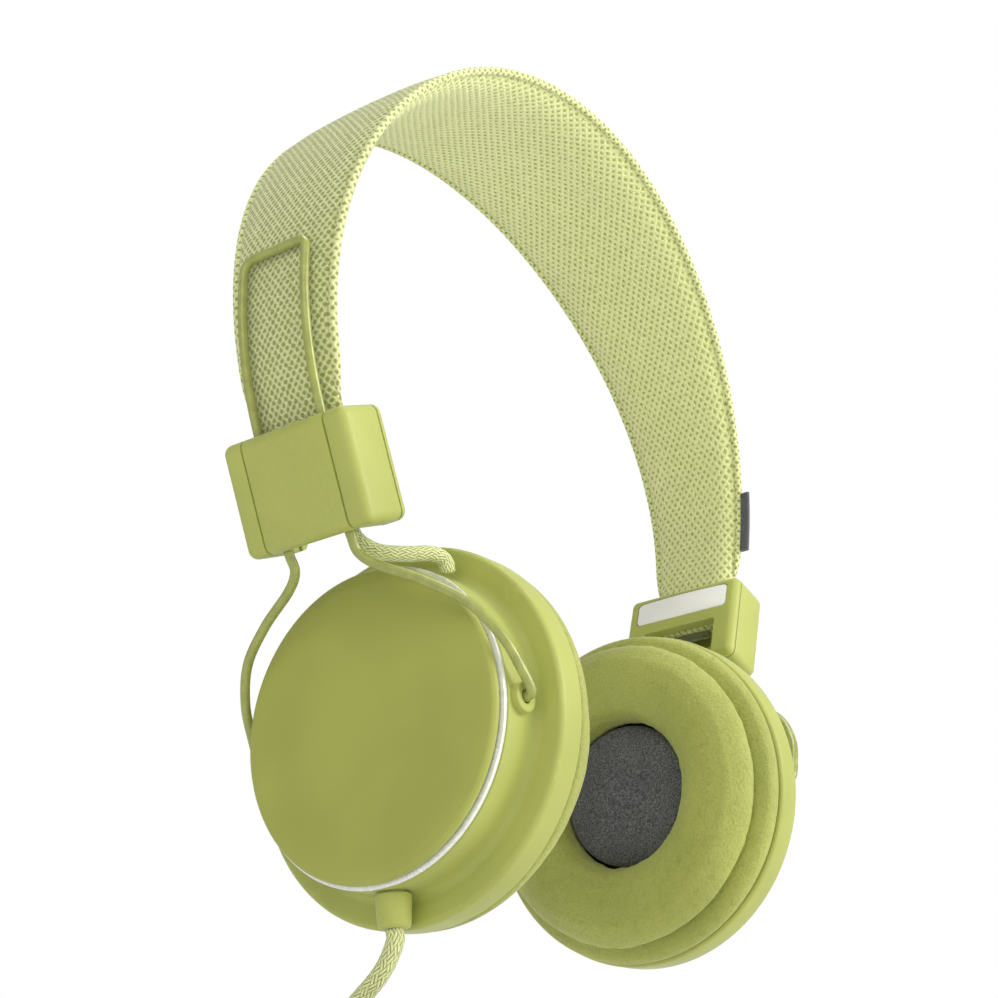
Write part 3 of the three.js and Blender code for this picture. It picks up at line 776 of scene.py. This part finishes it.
def make_box(side, sign):
    """The slider box: outer face, two cheeks, inner plate with opening, blank label."""
    body = f"{side}_slider"
    cover = box_blank()
    cut(cover, 0, 4.5, True)
    cut(cover, 1, SEAM_Y - GAP / 2, False)
    cut(cover, 1, -SEAM_Y + GAP / 2, True)
    cover = placed(cover, f"{side}_box_face", sign)
    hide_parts(f"{side}_box_cover")
    pieces = [cover]
    for edge, where in ((-1, "front"), (1, "back")):
        cheek = box_blank()
        cut(cheek, 0, -3.4, True)
        cut(cheek, 1, edge * (SEAM_Y + GAP / 2), edge > 0)
        cheek = placed(cheek, f"{side}_box_side_{where}", sign)
        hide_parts(f"{side}_box_cheek_{where}")
        pieces.append(cheek)
    plate = box_blank()
    cut(plate, 0, -3.7, False)
    plate = placed(plate, f"{side}_box_back", sign)
    subtract(plate, block_tool(-10, 3, -9.7, 9.7, 11.2, 30, sign))
    subtract(plate, label_prism("tool", 0.0, BOX_IN - 1.0, BOX_IN + 0.8, sign, LIME))
    finish_mesh(plate.data, BOX_SHARP)
    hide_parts(f"{side}_inner_plate")
    label = label_prism(f"{side}_label", 0.14, BOX_IN - 0.02, BOX_IN + 0.6, sign, WHITE, 0.22)
    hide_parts(f"{side}_label_plate")
    for piece in pieces + [plate, label]:
        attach(piece, body)


def make_frame(side, sign):
    """The wire loop that the box carries up the outside of the band."""
    def at(s, y):
        x, z = band_point(s, FRAME_OFFSET)
        return np.array([x, y, z])

    top = BAND_LEN - FRAME_REACH
    curve = 2.5

    def rail(y):
        points = [box_point(13.6, y, FRAME_OFFSET), box_point(7, y, FRAME_OFFSET)]
        return points + [at(BAND_LEN - (FRAME_REACH - curve) * i / 5, y) for i in range(6)]

    up, down = rail(FRAME_HALF_W), rail(-FRAME_HALF_W)[::-1]
    w = FRAME_HALF_W
    points = catmull(up, 8)
    points += bend(up[-1], at(top, w), at(top, w - curve))
    points += [at(top, w - curve), at(top, 0), at(top, curve - w)]
    points += bend(at(top, curve - w), at(top, -w), down[0])
    points += catmull(down, 8)
    wire = tube(f"{side}_slider_wire", mirrored(points, sign), FRAME_WIRE_R, 16, WIRE)
    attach(wire, f"{side}_slider")
    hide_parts(f"{side}_frame")


# --- yoke ---

LEG = [(0, 7.5), (3.2, 7.7), (6.4, 10.9), (11.4, 19.2), (17.5, 26.6), (25, 30.8), (32, 32.3)]
LEG_TOP = np.array([66.1, 0.0, -115.3])


def make_yoke(side, sign):
    """One bent wire: the fold axle in the box, two legs, and the pins in the cup."""
    axle = box_point(AXLE_DOWN, 0, AXLE_OUT)
    foot = np.array([PIVOT_X, 0.0, CUP_Z])
    run = foot - LEG_TOP
    length = np.linalg.norm(run)
    run /= length

    def across(point, y):
        return point + np.array([0.0, y, 0.0])

    def leg(edge):
        points = [across(LEG_TOP + run * d, edge * y) for d, y in LEG]
        return points + [across(LEG_TOP + run * (length - 1.6), edge * PIVOT_HALF_W)]

    def half(edge):
        """From the middle of the axle to the pivot pin."""
        corner = across(axle, edge * STUB_HALF_W)
        stub = corner + 0.42 * (across(LEG_TOP, edge * LEG[0][1]) - corner)
        legs = leg(edge)
        elbow = across(foot, edge * PIVOT_HALF_W)
        pin = across(foot, edge * (PIVOT_HALF_W - 1.6))
        points = [axle, across(axle, edge * (STUB_HALF_W - 1.6))]
        points += bend(points[-1], corner, stub)
        points += catmull([stub] + legs, 10)
        points += bend(legs[-1], elbow, pin)
        return points + [pin, across(foot, edge * 29.1)]

    points = half(1)[::-1] + half(-1)[1:]
    wire = tube(f"{side}_yoke_arch", mirrored(points, sign), YOKE_WIRE_R, 16, WIRE)
    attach(wire, f"{side}_yoke")
    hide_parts(f"{side}_yoke_wire")


# --- ear cups ---

SHELL = [(27.6, 37.0), (35.5, 37.0), (36, 37.5), (36, 42.7), (35.3, 43.4), (31.4, 43.4),
         (30.2, 44.0), (BODY_R, 45.4), (BODY_R, 51.1), (27.6, 51.1)]
CAP = [(0, 52.6), (28.9, 52.6), (29.2, 52.9), (29.2, 53.6), (28.6, 54.3), (26.6, 54.55), (0, 54.6)]
TRIM = [(27.6, 51.4), (BODY_R, 51.4), (BODY_R + 0.05, 52.3), (27.6, 52.3)]
PAD = [(16.4, 36.7), (15.7, 34.5), (15.7, 29.8), (17.1, 27), (20.5, 25.3), (25, 24.9), (28.8, 25.7),
       (31.7, 27.8), (32.9, 30.0), (32.5, 31.6), (30.9, 32.6), (33.0, 32.8), (34.9, 33.4), (35.8, 34.7),
       (35.8, 36), (35.3, 36.7)]


def make_collars(side, sign):
    """The ringed bosses that the yoke's ends turn in."""
    for edge, where in ((-1, "front"), (1, "back")):
        inner, outer = YOKE_WIRE_R + 0.3, COLLAR_R
        flat = [(inner, 28.85), (outer, 28.85), (outer, 31.2), (inner, 31.2)]
        profile = fillet(flat, 0.35, 3, True)

        def place(r, y, a):
            return (sign * PIVOT_X + r * math.cos(a), edge * y, CUP_Z + r * math.sin(a))

        ring = lathe(f"{side}_boss_{where}", profile, 48, place, LIME, closed=True)
        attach(ring, f"{side}_cup")
        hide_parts(f"{side}_collar_{where}")


def make_shell(side, sign):
    shell = lathe(f"{side}_housing", fillet(SHELL, 0.5, 3, True), 144, cup_place(sign), LIME, True)
    # The disc takes the darker lime: painted shade.
    cap = lathe(f"{side}_disc", fillet(CAP, 0.5, 4), 144, cup_place(sign), LIME_CAP_SHADED)
    trim = lathe(f"{side}_trim", fillet(TRIM, 0.2, 2, True), 144, cup_place(sign), CHROME, True)
    for piece, node in ((shell, "shell"), (cap, "cap"), (trim, "trim_ring")):
        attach(piece, f"{side}_cup")
        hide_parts(f"{side}_{node}")


def make_cloth(side, sign):
    profile = [(0, 32.5), (6, 32.5), (12, 32.7), (14.6, 33.0), (15.3, 33.5), (15.3, 33.9), (0, 33.9)]
    cloth = lathe(f"{side}_speaker_cloth", fillet(profile, 0.4, 3), 96, cup_place(sign), DRIVER_CLOTH)
    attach(cloth, f"{side}_cup")
    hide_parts(f"{side}_driver_cloth")


def puffed(obj, pinned_below, cap_mm):
    """Cloth simulation with inner pressure; points near the housing are held."""
    rest = [v.co.copy() for v in obj.data.vertices]
    group = obj.vertex_groups.new(name="held")
    held = [v.index for v in obj.data.vertices if abs(v.co.x) > pinned_below * MM]
    group.add(held, 1.0, "REPLACE")
    cloth = obj.modifiers.new("cloth", "CLOTH")
    cloth.settings.use_pressure = True
    cloth.settings.uniform_pressure_force = CLOTH_PRESSURE
    cloth.settings.vertex_group_mass = "held"
    cloth.settings.effector_weights.gravity = 0.0
    cloth.settings.tension_stiffness = CLOTH_STIFFNESS
    cloth.settings.compression_stiffness = CLOTH_STIFFNESS
    scene = bpy.context.scene
    for number in range(1, SIM_FRAMES + 1):
        scene.frame_set(number)
    apply_modifiers(obj)
    scene.frame_set(1)
    limit = cap_mm * MM
    for v, old in zip(obj.data.vertices, rest):
        step = v.co - old
        if step.length > limit:
            v.co = old + step * (limit / step.length)


def make_cushion(side, sign):
    """Ear cushion: a stuffed ring swelled by simulation, then creased towards its seam."""
    seed = 7.0 if sign < 0 else 19.0
    shrunk = [(r + (0.25 if r < 20 else -0.25 if r > 30 else 0), x + (0.3 if x < 30 else 0))
              for r, x in PAD]
    pad = lathe(f"{side}_ear_cushion", fillet(shrunk, 0.9, 3, True), 144, cup_place(sign),
                PAD_COVER, True, 0)
    puffed(pad, 31.2, 0.7)
    for v in pad.data.vertices:
        x, y, z = abs(v.co.x) / MM, v.co.y / MM, v.co.z / MM - CUP_Z
        r, a = math.hypot(y, z), math.atan2(z, y)
        seam = max(0.0, 1 - abs(x - 30.8) / 3.4) * max(0.0, 1 - abs(r - 32.8) / 2.8)
        hole = max(0.0, 1 - abs(r - 15.9) / 3.0) * max(0.0, min(1.0, (x - 25.5) / 2.0))
        ring = Vector((math.cos(a) * 9.0, math.sin(a) * 9.0, seed))
        pucker = noise.noise(ring * 2.2) * 0.55 * seam + noise.noise(ring) * 0.3 * hole
        soft = 0.18 * noise.noise(Vector((x * 0.16, y * 0.1, z * 0.1 + seed)))
        free = 0.0 if x > 34.0 else 1.0
        out = (pucker + soft * free) / max(r, 1.0)
        v.co.y += y * out * MM
        v.co.z += z * out * MM
    smooth = pad.modifiers.new("smooth", "SUBSURF")
    smooth.levels = smooth.render_levels = 1
    apply_modifiers(pad)
    finish_mesh(pad.data, 0)
    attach(pad, f"{side}_cup")
    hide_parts(f"{side}_cushion")


# --- leads between box and cup ---

LEAD = [(62.0, -3.6, -109.3), (61.3, -4.4, -113.4), (58.8, -7.4, -116.2), (54.8, -11.0, -116.6),
        (50.8, -13.8, -116.2), (48.3, -14.9, -117.2), (47.5, -14.8, -119.1)]


def make_lead(side, sign):
    """The lead in two pieces that meet on the yoke, so that each bends over one joint."""
    path = resample(catmull(mirrored(LEAD, sign), 10), 0.35)
    middle = int(LEAD_SPLIT * len(path))
    first = tube(f"{side}_lead_upper", path[: middle + 2], LEAD_R, 16, LEAD_BRAID)
    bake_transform(first)
    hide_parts(f"{side}_lead")
    second = tube(f"{side}_lead_lower", path[middle:], LEAD_R, 16, LEAD_BRAID, 0.5)
    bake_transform(second)
    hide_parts(f"{side}_lead")


# --- main cord ---

CORD_ROUTE = [(-PIVOT_X, 0, RELIEF_END - GAP), (-PIVOT_X, 0, -185), (-PIVOT_X, 3.2, -189.8),
              (-PIVOT_X, 9.0, -194.3), (-PIVOT_X, 14.8, -198.6), (-PIVOT_X, 19.8, -204.1),
              (-PIVOT_X, 23.1, -210.5)]
COIL_STEPS = 24
COIL_START = math.radians(5)
BUNDLE_R = 4.75
FIRST_PHI = math.radians(20.5)
PHI_SPAN = math.radians(319)


def coil_point(turned):
    """A point of the coil after so many turns; each turn lies beside the one before."""
    theta = COIL_START - 2 * math.pi * turned
    phi = FIRST_PHI + PHI_SPAN * turned / COIL_TURNS
    r = COIL_R + BUNDLE_R * math.cos(phi)
    x = -PIVOT_X + BUNDLE_R * math.sin(phi)
    return (x, r * math.cos(theta), COIL_Z + r * math.sin(theta))


def cord_path():
    """From the relief, round the coil, to the plug."""
    points = list(CORD_ROUTE) + [(-PIVOT_X + 0.9, 24.6, -217.5)]
    points += [coil_point(k / COIL_STEPS) for k in range(COIL_STEPS * COIL_TURNS + 1)]
    last = points[-1]
    for k, z in ((0.35, -233.0), (0.7, -240.0), (0.95, -246.0), (1.0, PLUG_TOP - 0.4)):
        x = last[0] + (-PIVOT_X - last[0]) * k
        points.append((x, last[1] + (TAIL_Y - last[1]) * k, z))
    return points


def make_cord():
    path = resample(catmull(cord_path(), 6), 1.2)
    sleeve = tube("main_cord_sleeve", path, CORD_R, 14, BRAID)
    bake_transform(sleeve)
    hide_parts("main_cord", "cord_coil", "cord_tail")
    grip, jack, strap = make_plug()


def make_plug():
    """The ribbed grip, the three-ringed jack and the tie, which hang with the cord."""
    z = PLUG_TOP - GAP
    place = upright_place(-PIVOT_X, TAIL_Y)
    flat = [(0, z), (2.3, z), (2.8, z - 6)]
    for k in range(7):
        flat += [(3.75, z - 7.4 - 1.5 * k), (3.9, z - 7.7 - 1.5 * k),
                 (3.9, z - 8.5 - 1.5 * k), (3.65, z - 8.7 - 1.5 * k)]
    flat += [(3.9, z - 18.6), (3.9, z - 20), (3.3, z - 21), (0, z - 21)]
    grip = lathe("plug_handle", fillet(flat, 0.3, 3), 64, place, LIME)
    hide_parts("plug_grip")
    z -= 21 + GAP
    flat = [(0, z), (1.75, z), (1.75, z - 3.4), (1.6, z - 3.5), (1.6, z - 4.0), (1.75, z - 4.1),
            (1.75, z - 6.9), (1.6, z - 7.0), (1.6, z - 7.5), (1.75, z - 7.6), (1.75, z - 10.6),
            (1.35, z - 11.4), (1.7, z - 12.4), (0.7, z - 14), (0, z - 14)]
    jack = lathe("plug_pin", fillet(flat, 0.15, 2), 48, place, GOLD)
    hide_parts("plug_jack")
    strap = make_strap()
    for piece in (grip, jack, strap):
        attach(piece, "cord")
    return grip, jack, strap


def make_strap():
    """The tie round the top of the coil."""
    centre_z = COIL_Z + COIL_R

    def ring(half, y):
        out = []
        for k in range(48):
            a = 2 * math.pi * k / 48
            c, s = math.cos(a), math.sin(a)
            x = half * math.copysign(abs(c) ** 0.55, c)
            z = half * math.copysign(abs(s) ** 0.55, s)
            out.append((-PIVOT_X + x, y, centre_z + z))
        return out

    rings = [ring(6.75, -2.4), ring(7.3, -2.5), ring(7.5, -2.2), ring(7.5, 2.2), ring(7.3, 2.5),
             ring(6.75, 2.4)]
    verts, faces, _ = skin(rings, loop=True)
    strap = add_mesh("coil_strap", verts, faces, STRAP, 40)
    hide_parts("cord_tie")
    return strap


def make_relief():
    """The tapered sleeve where the cord leaves the left cup."""
    top = CUP_Z - BODY_R
    flat = [(0, top + 2.8), (2.45, top + 2.8), (2.45, top - GAP), (3.3, top - GAP), (3.3, top - 1.6),
            (3.05, RELIEF_END + 0.6), (2.5, RELIEF_END), (0, RELIEF_END)]
    piece = lathe("cord_relief", fillet(flat, 0.35, 3), 64, upright_place(-PIVOT_X, 0), LIME)
    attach(piece, "left_cup")
    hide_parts("strain_relief")


# --- scene ---

def dress_cad_nodes():
    """Materials for the CAD solids that stay visible as they are."""
    looks = {"spring": STEEL, "hinge_block": LIME, "baffle": BLACK, "driver": BLACK}
    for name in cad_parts:
        for word, look in looks.items():
            if name.endswith(word):
                mesh = bpy.data.objects[name].data
                mesh.materials.clear()
                mesh.materials.append(look)


def make_camera():
    data = bpy.data.cameras.new("camera")
    data.lens = 67.9
    data.sensor_width = 36.0
    data.clip_start = 0.01
    camera = bpy.data.objects.new("camera", data)
    bpy.context.scene.collection.objects.link(camera)
    camera.location = (-0.3099, -0.2137, -0.2348)
    right = Vector((0.59323, -0.80371, -0.0462))
    up = Vector((-0.26964, -0.25244, 0.92928))
    back = Vector((-0.75853, -0.53882, -0.36647))
    camera.rotation_mode = "QUATERNION"
    camera.rotation_quaternion = Matrix((right, up, back)).transposed().to_quaternion()
    bpy.context.scene.camera = camera


def area_light(name, place, target, size, power):
    data = bpy.data.lights.new(name, "AREA")
    data.shape = "DISK"
    data.size = size
    data.energy = power
    lamp = bpy.data.objects.new(name, data)
    bpy.context.scene.collection.objects.link(lamp)
    lamp.location = place
    lamp.rotation_mode = "QUATERNION"
    lamp.rotation_quaternion = (Vector(target) - Vector(place)).to_track_quat("-Z", "Y")


def make_studio():
    """Three soft lamps, and a world that is dim to light by but white to the camera."""
    middle = (0.0, 0.0, -0.11)
    bpy.context.scene.view_settings.view_transform = "Standard"
    area_light("key", (0.3, -0.95, 0.2), middle, 0.6, 7.6)
    area_light("top", (0.1, -0.1, 1.1), middle, 0.8, 7.0)
    area_light("fill", (-0.85, -0.35, 0.35), middle, 0.7, 2.3)
    world = bpy.data.worlds.new("studio")
    world.use_nodes = True
    nodes, links = world.node_tree.nodes, world.node_tree.links
    shade = nodes["Background"]
    shade.inputs["Color"].default_value = (1.0, 1.0, 1.0, 1.0)
    shade.inputs["Strength"].default_value = 0.42
    white = nodes.new("ShaderNodeBackground")
    white.inputs["Color"].default_value = (1.0, 1.0, 1.0, 1.0)
    choose = nodes.new("ShaderNodeMixShader")
    path = nodes.new("ShaderNodeLightPath")
    links.new(path.outputs["Is Camera Ray"], choose.inputs[0])
    links.new(shade.outputs[0], choose.inputs[1])
    links.new(white.outputs[0], choose.inputs[2])
    links.new(choose.outputs[0], nodes["World Output"].inputs["Surface"])
    bpy.context.scene.world = world
    make_floor()


def make_floor():
    """A pale floor below the part, which glows towards white far away."""
    z = CAD_BOX[0].z / MM - 1.0
    half = FLOOR_HALF
    verts = [(-half, -half, z), (half, -half, z), (half, half, z), (-half, half, z)]
    look = Look("studio_floor", 0.7, Emission_Color=(1.0, 1.0, 1.0, 1.0))
    patch = look.ramp(look.noise(3.0, 2.0), 0.3, 0.7)
    tone = look.mix(patch, (0.86, 0.86, 0.85, 1.0), (0.9, 0.9, 0.89, 1.0))
    far = look.vector("LENGTH", look.place())
    look.put(look.shader.inputs["Emission Strength"], look.ramp(far, 0.35, 1.5, 0.0, 0.62))
    floor = add_mesh("floor", verts, [(0, 1, 2, 3)], look.done(tone))


def main():
    """Builds every piece, then the lights."""
    make_camera()
    make_relief()
    make_cord()
    make_headband()
    make_tag()
    for side, sign in (("left", -1.0), ("right", 1.0)):
        make_box(side, sign)
        make_frame(side, sign)
        make_yoke(side, sign)
        make_shell(side, sign)
        make_collars(side, sign)
        make_cloth(side, sign)
        make_cushion(side, sign)
        make_lead(side, sign)
    dress_cad_nodes()
    make_studio()


main()
